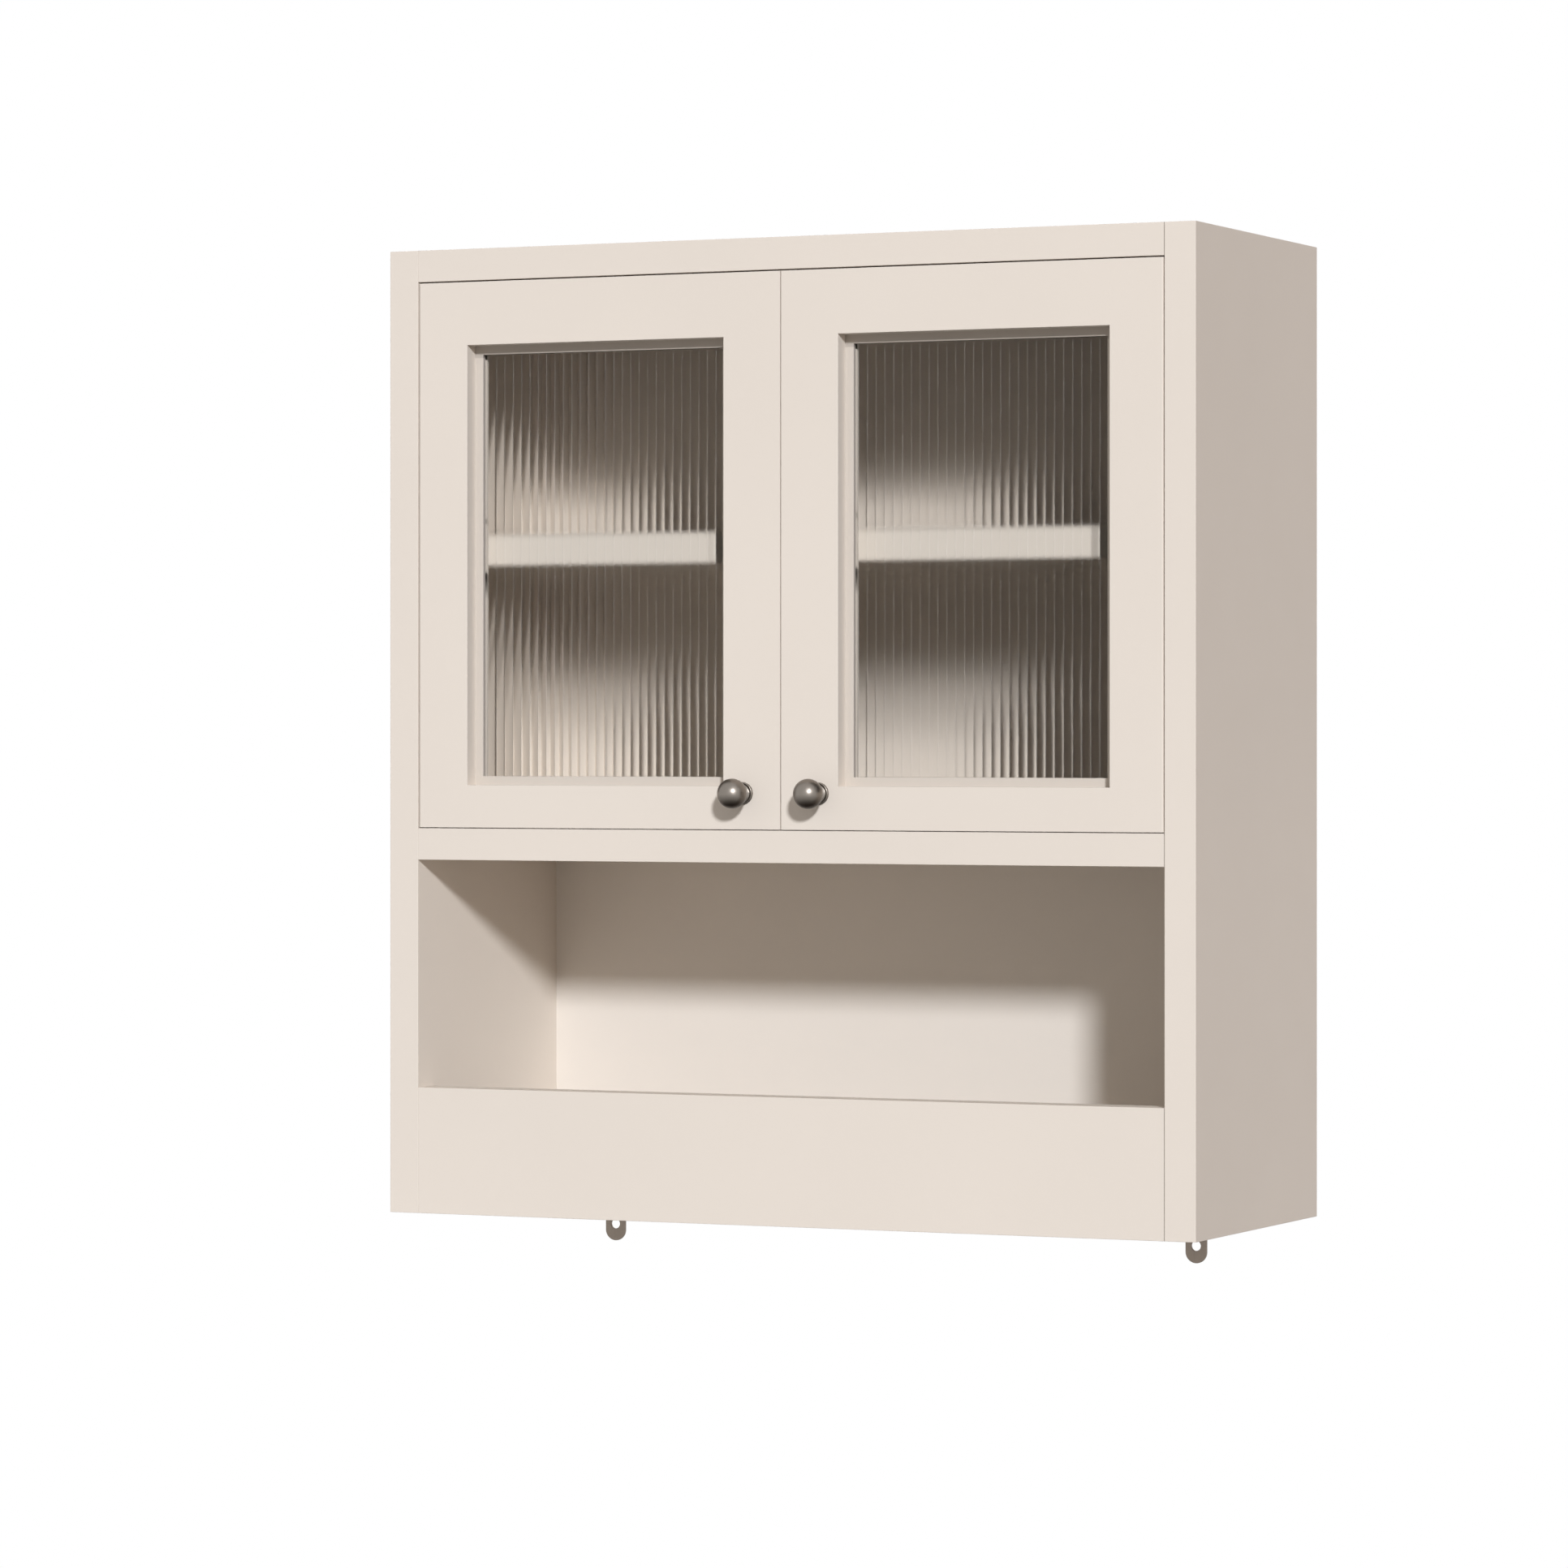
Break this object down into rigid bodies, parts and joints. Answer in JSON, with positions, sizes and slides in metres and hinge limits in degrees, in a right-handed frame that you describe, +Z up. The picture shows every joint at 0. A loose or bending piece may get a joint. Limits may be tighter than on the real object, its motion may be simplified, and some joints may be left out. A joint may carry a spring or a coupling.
{
  "type": "over the toilet cabinet",
  "caption": "Wall-hung bathroom cabinet with inset fluted-glass doors on concealed hinges, a shelf behind them, and an open tray with a front apron below.",
  "frame": {"origin": "on the wall plane, midway between the two upper wall-screw holes", "axes": "+Z up, +Y into the wall, +X to the right as seen from the front; the doors face -Y"},
  "size_m": [0.6, 0.2621, 0.7025],
  "materials": {
    "painted_board": "satin cream paint on fibreboard",
    "fluted_glass": "clear, reeded on the inner face",
    "pewter": "dark satin pewter",
    "zinc_steel": "zinc-plated, satin",
    "cast_zinc": "cast, dull",
    "cap_plastic": "matte cream",
    "catch_plastic": "matte white",
    "magnet": "ferrite, dull",
    "dowel_wood": "raw beech"
  },
  "bodies": {
    "carcass": {"adjustable_shelf": "painted_board", "back_panel": "painted_board", "bottom_panel": "painted_board", "bracket_screws": "zinc_steel", "cam_bolts": "zinc_steel", "cam_caps": "cap_plastic", "cams": "cast_zinc", "carcass_dowels": "dowel_wood", "catch_magnets": "magnet", "catch_screws": "zinc_steel", "front_apron": "painted_board", "hinge_plate_screws": "zinc_steel", "left_lower_bracket": "zinc_steel", "left_lower_hinge_arm": "zinc_steel", "left_lower_hinge_plate": "zinc_steel", "left_side_panel": "painted_board", "left_upper_hinge_arm": "zinc_steel", "left_upper_hinge_plate": "zinc_steel", "lower_spacer_rail": "painted_board", "magnetic_catch": "catch_plastic", "middle_panel": "painted_board", "right_lower_bracket": "zinc_steel", "right_lower_hinge_arm": "zinc_steel", "right_lower_hinge_plate": "zinc_steel", "right_side_panel": "painted_board", "right_upper_hinge_arm": "zinc_steel", "right_upper_hinge_plate": "zinc_steel", "shelf_pins": "zinc_steel", "top_panel": "painted_board", "upper_hanging_rail": "painted_board"},
    "left_door": {"left_cup_screws": "zinc_steel", "left_door_frame": "painted_board", "left_glass": "fluted_glass", "left_glazing_beads": "painted_board", "left_hinge_pins": "zinc_steel", "left_knob": "pewter", "left_knob_bolt": "zinc_steel", "left_knob_rose": "pewter", "left_lower_hinge_cup": "zinc_steel", "left_strike_plate": "zinc_steel", "left_upper_hinge_cup": "zinc_steel"},
    "right_door": {"right_cup_screws": "zinc_steel", "right_door_frame": "painted_board", "right_glass": "fluted_glass", "right_glazing_beads": "painted_board", "right_hinge_pins": "zinc_steel", "right_knob": "pewter", "right_knob_bolt": "zinc_steel", "right_knob_rose": "pewter", "right_lower_hinge_cup": "zinc_steel", "right_strike_plate": "zinc_steel", "right_upper_hinge_cup": "zinc_steel"}
  },
  "joints": [
    {"name": "left_door_swing", "type": "hinge", "parent": "carcass", "child": "left_door", "pos_m": [-0.2551, -0.2285, -0.1602], "axis": [0, 0, -1], "range_deg": [0, 95]},
    {"name": "right_door_swing", "type": "hinge", "parent": "carcass", "child": "right_door", "pos_m": [0.2551, -0.2285, -0.1602], "axis": [0, 0, 1], "range_deg": [0, 95]}
  ]
}
